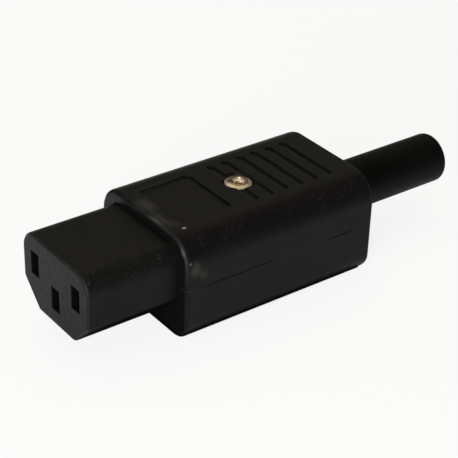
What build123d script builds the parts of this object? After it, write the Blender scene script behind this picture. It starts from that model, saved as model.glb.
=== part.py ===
from build123d import *
from math import atan2, cos, degrees, pi, sin
import os

# Rewirable appliance connector: a hexagonal nose with three sockets, two half shells held together
# by one screw, and a round boot for the cord. All sizes are in millimetres.
# The origin lies on the mating face, midway between the line and neutral slots.
# +X runs from the mating face to the cord end, +Y to line's side, +Z to the flat side of the nose.

# Engagement end
pin_pitch = 14.0  # line slot to neutral slot
earth_drop = 4.0  # earth slot below the other two
slot_width = 2.7
slot_height = 4.8
nose_height = 15.6
nose_length = 18.9  # in front of the shell
nose_drop = 1.8  # centre of the nose below the line and neutral slots
nose_chamfer = 5.2
nose_top_radius = 4.0
nose_low_radius = 1.2
nose_edge_radius = 0.65
face_thickness = 1.6  # in front of the contact cavities

# Half shells
side_cover = 1.88  # shell beside the carrier's flange
roof_cover = 1.28  # above it
floor_cover = 2.38  # below it
shell_top_radius = 5.6
shell_low_radius = 4.0
shell_end_radius = 0.9
shell_wall = 1.9
front_wall = 2.2
rear_wall = 2.4
inner_corner_radius = 2.1
seam_depth = 0.12  # V-shaped line where the two halves meet
tongue_thickness = 0.8
tongue_height = 1.2
rib_thickness = 1.4
deck_rib_inset = 3.0  # from the deck's ends to its ribs
root_depth = 0.5  # how far a rib or boss reaches into the shell's floor

# Marks moulded in the top
panel_start = 3.7  # behind the shell's front face
panel_length = 11.4
panel_width = 14.4
panel_depth = 0.45
panel_corner_radius = 1.2
groove_count = 6
groove_start = 20.35  # behind the shell's front face
groove_pitch = 3.53
groove_width = 1.3
groove_length = 15.4
groove_depth = 0.8

# Cover screw and its insert
cover_head_radius = 2.8
cover_head_height = 2.4
cover_head_sink = 0.05  # top of the head below the shell's top
cover_head_room = 0.35  # round the head in its recess
cover_screw_length = 12.0
cover_dome_rise = 0.75  # of the head above its straight side
screw_radius = 1.5
screw_room = 0.15  # round a shank in a clearance hole
bore_end_room = 1.0  # past the cover screw's end
post_radius = 4.2
insert_radius = 2.1
insert_length = 5.5

# Round edges at the ends of the nose, the shell and the boot
edge_flats = 3

# Contact carrier
flange_thickness = 2.0
flange_proud = 0.8
bay_gap = 0.3  # beside a terminal
bay_wall = 1.4  # outside the outer bays
barrier_rise = 3.6  # top of the barrier walls above the line and neutral slots
deck_gap = 0.8  # between the deck and the cover screw's post
deck_tail = 2.58  # behind the terminals' heads
pad_end_gap = 1.4  # from a terminal pad to the deck's end
retainer_set_back = 0.5  # behind the deck's front
retainer_thickness = 1.5
retainer_side_wall = 0.2  # outside the retainer
peg_radius = 0.6
peg_length = 1.2
blind_end = 0.3  # past a peg or a terminal screw in its hole

# Contacts and their terminals
sheet = 0.5
leaf_height = 4.0
leaf_end_gap = 0.3  # above and below a leaf in its cavity
leaf_side_gap = 0.4  # beside the spread leaves
leaf_set_back = 1.4  # tips of the leaves behind the face's inner side
leaf_lead = 3.5  # from the tips to the pinch
leaf_recovery = 4.5  # from the pinch to the parallel stretch
leaf_pinch_gap = 1.9  # a little under the thickness of a pin
leaf_spread = 2.6  # between the leaves behind the pinch
leaf_bend_radius = 0.6
socket_seat = 2.0  # rear of the folded socket in front of the deck
neck_width = 2.2
pad_lead = 0.2  # from the deck's front to a pad
pad_corner_radius = 1.4
terminal_gap = 1.2  # from the retainer to a terminal's head
plate_inset = 0.1  # clamp plate inside its pad's edge
plate_corner = 0.6
clamp_plate_thickness = 0.8
terminal_head_radius = 2.6
terminal_head_height = 1.9
terminal_screw_length = 5.0
cross_length = 3.0
cross_width = 0.6
cross_depth = 1.2
cross_end_share = 1 / 3  # length of a cross wing at its foot
inner_slot_width = 0.7  # of the screws inside
inner_slot_depth = 0.9

# Cord clamp, in front of the boot
cord_radius = 3.6
clamp_gap = 2.1  # between the cover screw's post and the clamp
boot_room = 4.2  # between the clamp and the rear rib
clamp_length = 6.0
clamp_ear = 2.4  # from a clamp screw to the bar's end
clamp_corner_radius = 1.5
clamp_thickness = 2.2
clamp_arch_thickness = 1.7
clamp_seat_drop = 1.0  # underside of the bar below the parting plane
clamp_head_gap = 0.7  # between the arch and a clamp screw's head
clamp_screw_radius = 1.4
clamp_screw_length = 8.5
clamp_head_radius = 2.4
clamp_head_height = 1.9
pilot_end_room = 0.7
boss_radius = 2.9
saddle_side = 1.2  # beside the cord
saddle_thickness = 1.2
saddle_pitch = 3.6

# Boot
boot_length = 28.5  # behind the shell
boot_wall = 1.6
boot_edge_radius = 1.0
boot_flange_proud = 1.0
boot_flange_length = 2.2
boot_stub_wall = 0.9
boot_stub_length = 1.0  # in front of its rib
boot_mouth_chamfer = 0.4

shank_end_chamfer = 0.45  # of the cover screw

# Clearances
slide_gap = 0.12  # plastic pieces that drop into each other
boot_gap = 0.1
screw_gap = 0.05  # round a shank in its pilot hole or insert
plate_gap = 0.1
overlap = 0.01  # by which one cut runs into the next

# Sizes that follow from the pieces they hold
pad_width = 2 * terminal_head_radius
clamp_plate_side = pad_width - 2 * plate_inset
bay_width = pad_width + 2 * bay_gap
cavity_width = leaf_spread + 2 * sheet + 2 * leaf_side_gap
cavity_height = leaf_height + 2 * leaf_end_gap
nose_width = pin_pitch + bay_width + 2 * bay_wall
retainer_reach = nose_width / 2 - retainer_side_wall
pocket_proud = flange_proud + slide_gap
shell_width = nose_width + 2 * (pocket_proud + side_cover)
shell_rise = nose_height / 2 + pocket_proud + roof_cover
shell_fall = nose_height / 2 + pocket_proud + floor_cover
inner_half_width = shell_width / 2 - shell_wall
screw_hole_radius = screw_radius + screw_room
cover_recess_radius = cover_head_radius + cover_head_room
arch_radius = cord_radius + clamp_arch_thickness
clamp_screw_offset = arch_radius + clamp_head_gap + clamp_head_radius
clamp_half_width = clamp_screw_offset + clamp_ear
pilot_depth = clamp_screw_length - clamp_thickness + pilot_end_room
saddle_reach = cord_radius + saddle_side
boot_radius = cord_radius + boot_wall
boot_flange_radius = boot_radius + boot_flange_proud
boot_stub_radius = cord_radius + boot_stub_wall

# Heights
parting = -nose_drop
nose_bottom = parting - nose_height / 2
shell_top = parting + shell_rise
shell_bottom = parting - shell_fall
floor_top = shell_bottom + shell_wall
cover_seat = shell_top - cover_head_sink - cover_head_height
tail_under = -leaf_height / 2
tail_top = tail_under + sheet
retainer_under = tail_top + plate_gap
clamp_seat = parting - clamp_seat_drop

# Places along the connector, each behind the one before
shell_front = nose_length
flange_front = shell_front + front_wall
flange_rear = flange_front + flange_thickness
cavity_front = flange_rear + rib_thickness
deck_front = cavity_front + slide_gap
retainer_front = deck_front + retainer_set_back
retainer_rear = retainer_front + retainer_thickness
terminal_x = retainer_rear + terminal_gap + terminal_head_radius
deck_rear = terminal_x + terminal_head_radius + deck_tail
cover_x = deck_rear + deck_gap + post_radius
clamp_x = cover_x + post_radius + clamp_gap + clamp_length / 2
cavity_rear = clamp_x + clamp_length / 2 + boot_room
boot_flange_front = cavity_rear + rib_thickness
boot_flange_rear = boot_flange_front + boot_flange_length
shell_rear = boot_flange_rear + rear_wall
boot_end = shell_rear + boot_length
leaf_start = face_thickness + leaf_set_back
socket_back = deck_front - socket_seat
peg_x = retainer_front + retainer_thickness / 2
pad_rear = deck_rear - pad_end_gap
poles = {
    "line": (pin_pitch / 2, 0.0),
    "neutral": (-pin_pitch / 2, 0.0),
    "earth": (0.0, -earth_drop),
}


def block(x0, x1, y0, y1, z0, z1):
    """A box between two corners."""
    return Pos((x0 + x1) / 2, (y0 + y1) / 2, (z0 + z1) / 2) * Box(x1 - x0, y1 - y0, z1 - z0)


def along_x(section, x0, x1):
    """A section drawn in Y and Z, run from x0 to x1."""
    return extrude(Plane.YZ.offset(x0) * section, amount=x1 - x0)


def rod_x(radius, x0, x1):
    """A round bar on the cord's axis."""
    return Pos((x0 + x1) / 2, 0, parting) * Rot(0, 90, 0) * Cylinder(radius, x1 - x0)


def rounded_end(section, x, radius, way):
    """The last stretch of a bar that ends at x, its edge rounded in flats; way is -1 in front, 1 behind."""
    end = None
    for flat in range(edge_flats):
        low = flat / edge_flats * pi / 2
        high = (flat + 1) / edge_flats * pi / 2
        outer = radius * (1 - cos(low))
        inner = radius * (1 - cos(high))
        start = x - way * radius * (1 - sin(low))
        length = radius * (sin(high) - sin(low))
        face = Plane.YZ.offset(start) * section(-outer)
        piece = extrude(face, amount=way * length, taper=degrees(atan2(inner - outer, length)))
        end = piece if end is None else end + piece
    return end


def rounded_bar(section, x0, x1, front_radius=0.0, rear_radius=0.0):
    """A bar along X with a round edge at one end or both; section takes how far the outline grows."""
    bar = along_x(section(0.0), x0 + front_radius, x1 - rear_radius)
    if front_radius:
        bar += rounded_end(section, x0, front_radius, -1)
    if rear_radius:
        bar += rounded_end(section, x1, rear_radius, 1)
    return bar


def rod_z(radius, x, y, z0, z1):
    """A round bar standing at x, y."""
    return Pos(x, y, (z0 + z1) / 2) * Cylinder(radius, z1 - z0)


def nose_section(grow=0.0):
    """The nose's outline: rounded top corners and two chamfered low corners, grown all round."""
    half_width = nose_width / 2 + grow
    top = parting + nose_height / 2 + grow
    bottom = parting - nose_height / 2 - grow
    chamfer_leg = nose_chamfer + grow * (2 - 2**0.5)
    outline = Polygon(
        (-half_width, top),
        (-half_width, bottom + chamfer_leg),
        (-half_width + chamfer_leg, bottom),
        (half_width - chamfer_leg, bottom),
        (half_width, bottom + chamfer_leg),
        (half_width, top),
        align=None,
    )
    outline = fillet(outline.vertices().group_by(Axis.Y)[-1], nose_top_radius + grow)
    low = outline.vertices().filter_by_position(Axis.Y, bottom - 1, bottom + chamfer_leg + 0.01)
    return fillet(low, nose_low_radius + grow)


def shell_section(grow=0.0):
    """The shell's outline across the cord, grown all round, or moved inwards by a wall."""
    width = shell_width + 2 * grow
    height = shell_rise + shell_fall + 2 * grow
    middle = (shell_top + shell_bottom) / 2
    outline = Pos(0, middle) * Rectangle(width, height)
    top_radius = max(shell_top_radius + grow, inner_corner_radius)
    low_radius = max(shell_low_radius + grow, inner_corner_radius)
    outline = fillet(outline.vertices().group_by(Axis.Y)[-1], top_radius)
    return fillet(outline.vertices().group_by(Axis.Y)[0], low_radius)


def boot_section(grow=0.0):
    """The boot's outline on the cord's axis."""
    return Pos(0, parting) * Circle(boot_radius + grow)


def slotted_screw(head_radius, head_height, length, shank_radius):
    """A flat-topped screw standing on its seat at the origin, with a straight slot."""
    head = Pos(0, 0, head_height / 2) * Cylinder(head_radius, head_height)
    shank = Pos(0, 0, -length / 2) * Cylinder(shank_radius, length)
    half_slot = inner_slot_width / 2
    floor = head_height - inner_slot_depth
    return head + shank - block(-head_radius, head_radius, -half_slot, half_slot, floor, head_height + 1)


def pan_screw(head_radius, head_height, length, shank_radius):
    """A pan-head screw standing on its seat at the origin, with a cross recess."""
    side = head_height - cover_dome_rise
    dome_radius = (head_radius**2 + cover_dome_rise**2) / (2 * cover_dome_rise)
    middle = head_radius / 2
    middle_height = head_height - dome_radius + (dome_radius**2 - middle**2) ** 0.5
    profile = make_face(
        [
            Line((0, 0), (head_radius, 0)),
            Line((head_radius, 0), (head_radius, side)),
            ThreePointArc((head_radius, side), (middle, middle_height), (0, head_height)),
            Line((0, head_height), (0, 0)),
        ]
    )
    head = revolve(Plane.XZ * profile, Axis.Z)
    shank = Pos(0, 0, -length / 2) * Cylinder(shank_radius, length)
    shank = chamfer(shank.edges().sort_by(Axis.Z)[0], shank_end_chamfer)
    half = cross_length / 2
    foot = half * cross_end_share
    wing = Polygon((-half, overlap), (half, overlap), (foot, -cross_depth), (-foot, -cross_depth), align=None)
    wing = Pos(0, 0, head_height) * extrude(Plane.XZ * wing, amount=cross_width / 2, both=True)
    return head + shank - wing - Rot(0, 0, 90) * wing


def groove_cutter(x):
    """One grip groove with round ends."""
    slot = Rot(0, 0, 90) * SlotOverall(groove_length, groove_width)
    return Pos(x, 0, shell_top) * extrude(slot, amount=-groove_depth)


def panel_cutter():
    """The shallow marking field, left bare, with rounded corners."""
    middle = shell_front + panel_start + panel_length / 2
    field = RectangleRounded(panel_length, panel_width, panel_corner_radius)
    return Pos(middle, 0, shell_top) * extrude(field, amount=-panel_depth)


def seam_cutter():
    """The V-shaped line that runs round the outside where the halves meet."""
    side = seam_depth * 2**0.5
    middle = (shell_front + shell_rear) / 2
    long_bar = Rot(45, 0, 0) * Box(shell_rear - shell_front + 2, side, side)
    cross_bar = Rot(0, 45, 0) * Box(side, shell_width + 2, side)
    cutters = []
    for y in (-shell_width / 2, shell_width / 2):
        cutters.append(Pos(middle, y, parting) * long_bar)
    for x in (shell_front, shell_rear):
        cutters.append(Pos(x, 0, parting) * cross_bar)
    return cutters


def closed_shell():
    """Both halves as one hollow casing, before it is parted."""
    shell = rounded_bar(shell_section, shell_front, shell_rear, shell_end_radius, shell_end_radius)
    shell -= along_x(nose_section(slide_gap), shell_front - 1, cavity_front + 1)
    shell -= along_x(nose_section(flange_proud + slide_gap), flange_front, flange_rear)
    shell -= along_x(shell_section(-shell_wall), cavity_front, cavity_rear)
    shell -= along_x(shell_section(-shell_wall), boot_flange_front, boot_flange_rear)
    shell -= rod_x(boot_stub_radius + boot_gap, cavity_rear - 1, boot_flange_front + 1)
    shell -= rod_x(boot_radius + boot_gap, boot_flange_rear - 1, shell_rear + 1)
    for cutter in seam_cutter():
        shell -= cutter
    return shell


def half_of(shell, z0, z1):
    """The part of the casing between two heights."""
    return shell & block(shell_front - 5, shell_rear + 5, -shell_width, shell_width, z0, z1)


def tongue_blocks(gap=0.0):
    """The lower shell's two tongues, or with a gap the rebates that they enter."""
    outer = inner_half_width + tongue_thickness + gap
    x0 = cavity_front + rib_thickness - gap
    x1 = cavity_rear - rib_thickness + gap
    inner = inner_half_width - gap
    right = block(x0, x1, -outer, -inner, parting, parting + tongue_height + gap)
    left = block(x0, x1, inner, outer, parting, parting + tongue_height + gap)
    return [right, left]


def make_upper_shell(shell):
    """Top half: marking field, grip grooves, screw recess and the post under it."""
    half = half_of(shell, parting, shell_top + 1)
    half += rod_z(post_radius, cover_x, 0, parting, shell_top - shell_wall / 2)
    half -= panel_cutter()
    for number in range(groove_count):
        half -= groove_cutter(shell_front + groove_start + number * groove_pitch)
    half -= rod_z(cover_recess_radius, cover_x, 0, cover_seat, shell_top + 1)
    half -= rod_z(screw_hole_radius, cover_x, 0, parting - 1, shell_top)
    for rebate in tongue_blocks(plate_gap):
        half -= rebate
    return half


def make_lower_shell(shell):
    """Bottom half: insert post, deck ribs, clamp bosses, cord saddle and tongues."""
    root = floor_top - root_depth
    half = half_of(shell, shell_bottom - 1, parting)
    half += rod_z(post_radius, cover_x, 0, root, parting)
    half -= rod_z(insert_radius + screw_gap, cover_x, 0, parting - insert_length, parting + 1)
    half -= rod_z(screw_hole_radius, cover_x, 0, cover_seat - cover_screw_length - bore_end_room, parting)
    rib_reach = nose_width / 2 - nose_chamfer - rib_thickness
    half_rib = rib_thickness / 2
    for x in (deck_front + deck_rib_inset, deck_rear - deck_rib_inset):
        half += block(x - half_rib, x + half_rib, -rib_reach, rib_reach, root, nose_bottom)
    for y in (-clamp_screw_offset, clamp_screw_offset):
        half += rod_z(boss_radius, clamp_x, y, root, clamp_seat)
        half -= rod_z(clamp_screw_radius + screw_gap, clamp_x, y, clamp_seat - pilot_depth, clamp_seat + 1)
    half_saddle = saddle_thickness / 2
    for x in (clamp_x - saddle_pitch / 2, clamp_x + saddle_pitch / 2):
        saddle = block(x - half_saddle, x + half_saddle, -saddle_reach, saddle_reach, root, clamp_seat)
        half += saddle - rod_x(cord_radius, x - saddle_thickness, x + saddle_thickness)
    for tongue in tongue_blocks():
        half += tongue
    return half


def socket_cutters(y, z):
    """What one pole takes out of the carrier: slot, contact cavity, terminal bay and the holes under them."""
    half_slot = slot_width / 2
    half_cavity = cavity_width / 2
    half_bay = bay_width / 2
    half_height = slot_height / 2
    slot = block(-1, face_thickness + 1, y - half_slot, y + half_slot, z - half_height, z + half_height)
    low = z - cavity_height / 2
    high = z + cavity_height / 2
    cavity = block(face_thickness, deck_front + 1, y - half_cavity, y + half_cavity, low, high)
    bay = block(deck_front, deck_rear + 1, y - half_bay, y + half_bay, tail_under, barrier_rise + 1)
    cutters = [slot, cavity, bay]
    if z < 0:
        pit = block(socket_back, deck_rear + 1, y - half_cavity, y + half_cavity, low, tail_under + overlap)
        riser = block(face_thickness, deck_front, y - half_cavity, y + half_cavity, z, tail_top + plate_gap)
        return cutters + [pit, riser]
    screw_end = tail_top + clamp_plate_thickness - terminal_screw_length
    peg_end = retainer_under - peg_length
    screw_hole = rod_z(screw_hole_radius, terminal_x, y, screw_end - blind_end, tail_under + 1)
    peg_hole = rod_z(peg_radius + plate_gap, peg_x, y, peg_end - blind_end, tail_under + 1)
    return cutters + [screw_hole, peg_hole]


def make_carrier():
    """The moulded nose with its three sockets, the flange that locks it, and the terminal deck."""
    carrier = rounded_bar(nose_section, 0, deck_rear, nose_edge_radius)
    carrier += along_x(nose_section(flange_proud), flange_front, flange_rear)
    carrier -= block(deck_front, deck_rear + 1, -nose_width, nose_width, barrier_rise, shell_top)
    for y, z in poles.values():
        for cutter in socket_cutters(y, z):
            carrier -= cutter
    front = retainer_front - plate_gap
    rear = retainer_rear + plate_gap
    return carrier - block(front, rear, -retainer_reach, retainer_reach, retainer_under, barrier_rise + 1)


def make_retainer():
    """The comb that drops in behind the sockets, with a peg through each contact."""
    reach = retainer_reach - plate_gap
    plate = block(retainer_front, retainer_rear, -reach, reach, retainer_under, barrier_rise)
    for y, _ in poles.values():
        plate += rod_z(peg_radius, peg_x, y, retainer_under - peg_length, retainer_under + peg_radius)
    return plate


def make_contact(y, z):
    """One folded brass strip: two sprung leaves joined at the back, a neck and a terminal pad."""
    tip = leaf_spread / 2 + sheet / 2
    pinch = leaf_pinch_gap / 2 + sheet / 2
    back = socket_back - sheet / 2
    pinch_x = leaf_start + leaf_lead
    spread_x = pinch_x + leaf_recovery
    path = FilletPolyline(
        (leaf_start, tip),
        (pinch_x, pinch),
        (spread_x, tip),
        (back, tip),
        (back, -tip),
        (spread_x, -tip),
        (pinch_x, -pinch),
        (leaf_start, -tip),
        radius=leaf_bend_radius,
    )
    strip = trace(path, line_width=sheet)
    contact = Pos(0, y, z - leaf_height / 2) * extrude(strip, amount=leaf_height)
    neck_front = socket_back - sheet
    left = y - neck_width / 2
    right = y + neck_width / 2
    if z < 0:
        contact += block(neck_front, socket_back, left, right, z, tail_top)
    pad_front = deck_front + pad_lead
    contact += block(neck_front, pad_front + pad_lead, left, right, tail_under, tail_top)
    pad = block(pad_front, pad_rear, y - pad_width / 2, y + pad_width / 2, tail_under, tail_top)
    rear_corners = pad.edges().filter_by(Axis.Z).group_by(Axis.X)[-1]
    contact += fillet(rear_corners, pad_corner_radius)
    contact -= rod_z(screw_radius + screw_gap, terminal_x, y, tail_under - 1, tail_top + 1)
    contact -= rod_z(peg_radius + plate_gap, peg_x, y, tail_under - 1, tail_top + 1)
    return contact


def make_clamp_plate(y):
    """The square washer that presses a conductor on its pad."""
    half = clamp_plate_side / 2
    top = tail_top + clamp_plate_thickness
    plate = block(terminal_x - half, terminal_x + half, y - half, y + half, tail_top, top)
    plate = chamfer(plate.edges().filter_by(Axis.Z), plate_corner)
    return plate - rod_z(screw_hole_radius, terminal_x, y, tail_top - 1, top + 1)


def make_terminal_screw(y):
    """The screw of one terminal."""
    seat = tail_top + clamp_plate_thickness
    screw = slotted_screw(terminal_head_radius, terminal_head_height, terminal_screw_length, screw_radius)
    return Pos(terminal_x, y, seat) * screw


def make_cord_clamp():
    """The bar with an arch that grips the cord from above."""
    top = clamp_seat + clamp_thickness
    x0 = clamp_x - clamp_length / 2
    x1 = clamp_x + clamp_length / 2
    bar = block(x0, x1, -clamp_half_width, clamp_half_width, clamp_seat, top)
    bar = fillet(bar.edges().filter_by(Axis.Z), clamp_corner_radius)
    bar += rod_x(arch_radius, x0, x1) & block(x0, x1, -arch_radius, arch_radius, clamp_seat, shell_top)
    bar -= rod_x(cord_radius, x0 - 1, x1 + 1)
    for y in (-clamp_screw_offset, clamp_screw_offset):
        bar -= rod_z(screw_hole_radius, clamp_x, y, clamp_seat - 1, top + 1)
    return bar


def make_clamp_screw(y):
    """One of the two self-tapping screws of the cord clamp."""
    screw = slotted_screw(clamp_head_radius, clamp_head_height, clamp_screw_length, clamp_screw_radius)
    return Pos(clamp_x, y, clamp_seat + clamp_thickness) * screw


def make_cover_screw():
    """The screw that holds the halves together."""
    screw = pan_screw(cover_head_radius, cover_head_height, cover_screw_length, screw_radius)
    return Pos(cover_x, 0, cover_seat) * screw


def make_insert():
    """The brass bush that the cover screw enters."""
    bush = rod_z(insert_radius, cover_x, 0, parting - insert_length, parting)
    return bush - rod_z(screw_radius + screw_gap, cover_x, 0, parting - insert_length - 1, parting + 1)


def make_boot():
    """The round sleeve round the cord, with a flange trapped inside the shell."""
    boot = rounded_bar(boot_section, boot_flange_rear, boot_end, rear_radius=boot_edge_radius)
    boot += rod_x(boot_flange_radius, boot_flange_front, boot_flange_rear)
    stub_front = cavity_rear - boot_stub_length
    boot += rod_x(boot_stub_radius, stub_front, boot_flange_front)
    boot -= rod_x(cord_radius, stub_front - 1, boot_end + 1)
    mouth = boot.faces().sort_by(Axis.X)[-1].edges().sort_by(SortBy.RADIUS)[0]
    return chamfer(mouth, boot_mouth_chamfer)


shell = closed_shell()
parts = {
    "upper_shell": make_upper_shell(shell),
    "lower_shell": make_lower_shell(shell),
    "contact_carrier": make_carrier(),
    "contact_retainer": make_retainer(),
    "cord_clamp": make_cord_clamp(),
    "clamp_screw_left": make_clamp_screw(clamp_screw_offset),
    "clamp_screw_right": make_clamp_screw(-clamp_screw_offset),
    "cover_screw": make_cover_screw(),
    "screw_insert": make_insert(),
    "boot": make_boot(),
}
for pole, (y, z) in poles.items():
    parts[pole + "_contact"] = make_contact(y, z)
    parts[pole + "_clamp_plate"] = make_clamp_plate(y)
    parts[pole + "_terminal_screw"] = make_terminal_screw(y)

os.makedirs("parts", exist_ok=True)
for name, solid in parts.items():
    export_step(solid, f"parts/{name}.step")
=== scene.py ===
import math

import bmesh
import bpy
from mathutils import Matrix, Vector


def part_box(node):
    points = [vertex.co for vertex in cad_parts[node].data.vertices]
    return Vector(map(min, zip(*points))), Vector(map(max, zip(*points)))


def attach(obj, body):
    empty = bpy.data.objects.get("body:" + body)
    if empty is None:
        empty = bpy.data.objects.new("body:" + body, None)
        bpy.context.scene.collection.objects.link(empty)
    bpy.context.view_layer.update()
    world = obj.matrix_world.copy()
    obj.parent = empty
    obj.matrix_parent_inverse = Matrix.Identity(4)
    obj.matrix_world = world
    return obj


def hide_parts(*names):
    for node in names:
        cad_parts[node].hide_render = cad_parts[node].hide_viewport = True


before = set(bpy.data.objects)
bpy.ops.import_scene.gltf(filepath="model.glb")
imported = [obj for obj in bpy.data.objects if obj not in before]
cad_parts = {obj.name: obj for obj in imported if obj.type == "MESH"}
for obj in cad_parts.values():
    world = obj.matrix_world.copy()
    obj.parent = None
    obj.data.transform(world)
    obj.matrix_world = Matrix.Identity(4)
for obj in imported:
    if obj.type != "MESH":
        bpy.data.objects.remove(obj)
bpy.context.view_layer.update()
mm = 0.001
print("frame loaded:", len(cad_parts), "pieces")


# Places that the other pieces are set by, all read from the frame

upperLow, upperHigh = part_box("upper_shell")
bootLow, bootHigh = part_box("boot")
shellFront = upperLow.x
shellRear = upperHigh.x
shellTop = upperHigh.z
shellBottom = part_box("lower_shell")[0].z
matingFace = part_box("contact_carrier")[0].x
cordHeight = (bootLow.z + bootHigh.z) / 2
screwPlace = sum(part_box("cover_screw"), Vector()) / 2
parting = upperLow.z
# how near to a face a point lies on it
onSurface = 0.02 * mm


# Small helpers for objects and meshes

def newObject(name, data):
    obj = bpy.data.objects.new(name, data)
    bpy.context.scene.collection.objects.link(obj)
    return obj


def applied(obj):
    # the evaluated shape as a plain mesh on a fresh object, the old one removed
    graph = bpy.context.evaluated_depsgraph_get()
    graph.update()
    mesh = bpy.data.meshes.new_from_object(obj.evaluated_get(graph), depsgraph=graph)
    name = obj.name
    bpy.data.objects.remove(obj)
    result = newObject(name, mesh)
    mesh.name = result.name
    return result


def meshFrom(bm, name):
    mesh = bpy.data.meshes.new(name)
    bm.to_mesh(mesh)
    bm.free()
    return mesh


def tidyMesh(node, mergeWithin=0.002 * mm, flatWithin=0.6):
    # a welded copy of a frame piece, with its flat faces whole again
    bm = bmesh.new()
    bm.from_mesh(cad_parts[node].data)
    bmesh.ops.remove_doubles(bm, verts=bm.verts, dist=mergeWithin)
    bmesh.ops.dissolve_limit(bm, angle_limit=math.radians(flatWithin), verts=bm.verts,
                             edges=bm.edges, use_dissolve_boundaries=False)
    bm.normal_update()
    return bm


def easeEdges(bm, picks, width, segments=3, sharperThan=50):
    # rounds the sharp edges that picks() takes
    chosen = []
    for edge in bm.edges:
        if len(edge.link_faces) == 2 and edge.calc_face_angle(0) > math.radians(sharperThan):
            if picks(edge.verts[0].co) and picks(edge.verts[1].co):
                chosen.append(edge)
    bmesh.ops.bevel(bm, geom=chosen, offset=width, offset_type="OFFSET", segments=segments,
                    profile=0.5, affect="EDGES", clamp_overlap=False)
    bm.normal_update()


def smoothShading(mesh, sharperThan=40):
    bm = bmesh.new()
    bm.from_mesh(mesh)
    for face in bm.faces:
        face.smooth = True
    for edge in bm.edges:
        edge.smooth = edge.calc_face_angle(0) < math.radians(sharperThan)
    bm.to_mesh(mesh)
    bm.free()


def finishPiece(obj, material, node):
    # even shading over the big faces, then the piece takes the place of its node
    smoothShading(obj.data)
    weighted = obj.modifiers.new("evenNormals", "WEIGHTED_NORMAL")
    weighted.keep_sharp = True
    obj = applied(obj)
    obj.data.materials.clear()
    obj.data.materials.append(material)
    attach(obj, "root")
    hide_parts(node)


def combine(obj, other, operation):
    # one exact boolean, applied, the second shape used up
    step = obj.modifiers.new("combine", "BOOLEAN")
    step.operation = operation
    step.solver = "EXACT"
    step.object = other
    result = applied(obj)
    bpy.data.objects.remove(other)
    return result


# Small helpers for node trees, those of shapes and those of materials

def feed(tree, socket, value):
    if isinstance(value, (int, float)):
        socket.default_value = value
    elif isinstance(value, (tuple, list)):
        socket.default_value = (*value, 1) if len(socket.default_value) == 4 else value
    else:
        tree.links.new(value, socket)


def maths(tree, operation, first, second=None, clamp=False):
    node = tree.nodes.new("ShaderNodeMath")
    node.operation = operation
    node.use_clamp = clamp
    feed(tree, node.inputs[0], first)
    if second is not None:
        feed(tree, node.inputs[1], second)
    return node.outputs[0]


def times(tree, *values, clamp=False):
    # the product of the values, clamped at the end if asked
    result = values[0]
    for count, value in enumerate(values[1:], 2):
        result = maths(tree, "MULTIPLY", result, value, clamp=clamp and count == len(values))
    return result


def sumOf(tree, values):
    result = values[0]
    for value in values[1:]:
        result = maths(tree, "ADD", result, value)
    return result


def mostOf(tree, *values):
    result = values[0]
    for value in values[1:]:
        result = maths(tree, "MAXIMUM", result, value)
    return result


def axes(tree, vector):
    split = tree.nodes.new("ShaderNodeSeparateXYZ")
    tree.links.new(vector, split.inputs[0])
    return split.outputs


def lengthOf(tree, vector):
    node = tree.nodes.new("ShaderNodeVectorMath")
    node.operation = "LENGTH"
    tree.links.new(vector, node.inputs[0])
    return node.outputs["Value"]


# Node trees that draw turned shapes, threads and the cutters of rims

def newShapeTree(name, inputs):
    tree = bpy.data.node_groups.new(name, "GeometryNodeTree")
    tree.interface.new_socket("Geometry", in_out="INPUT", socket_type="NodeSocketGeometry")
    for label, kind, value in inputs:
        socket = tree.interface.new_socket(label, in_out="INPUT", socket_type="NodeSocket" + kind)
        if value is not None:
            socket.default_value = value
    tree.interface.new_socket("Geometry", in_out="OUTPUT", socket_type="NodeSocketGeometry")
    source = tree.nodes.new("NodeGroupInput")
    target = tree.nodes.new("NodeGroupOutput")
    return tree, source, target


def position(tree):
    return tree.nodes.new("GeometryNodeInputPosition").outputs[0]


def roundTheAxis(tree, turn, radius, height):
    # the point at that share of a turn, radius and height
    angle = maths(tree, "MULTIPLY", turn, 2 * math.pi)
    place = tree.nodes.new("ShaderNodeCombineXYZ")
    tree.links.new(times(tree, maths(tree, "COSINE", angle), radius), place.inputs[0])
    tree.links.new(times(tree, maths(tree, "SINE", angle), radius), place.inputs[1])
    tree.links.new(height, place.inputs[2])
    return place.outputs[0]


def closeAndPaint(tree, geometry, source, target):
    # welds the seam and the poles, then smooth, realize and set the material
    for kind in ("GeometryNodeMergeByDistance", "GeometryNodeSetShadeSmooth",
                 "GeometryNodeRealizeInstances", "GeometryNodeSetMaterial"):
        node = tree.nodes.new(kind)
        tree.links.new(geometry, node.inputs["Geometry"])
        geometry = node.outputs["Geometry"]
        if kind == "GeometryNodeMergeByDistance":
            node.inputs["Distance"].default_value = 0.0005 * mm
    tree.links.new(source.outputs["Material"], node.inputs["Material"])
    tree.links.new(geometry, target.inputs["Geometry"])


def rounded(tree, curve, steps, radius):
    # the curve with its corners rounded
    corner = tree.nodes.new("GeometryNodeFilletCurve")
    corner.mode = "POLY"
    corner.inputs["Limit Radius"].default_value = True
    tree.links.new(curve, corner.inputs["Curve"])
    tree.links.new(steps, corner.inputs["Count"])
    tree.links.new(radius, corner.inputs["Radius"])
    return corner.outputs["Curve"]


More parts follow.
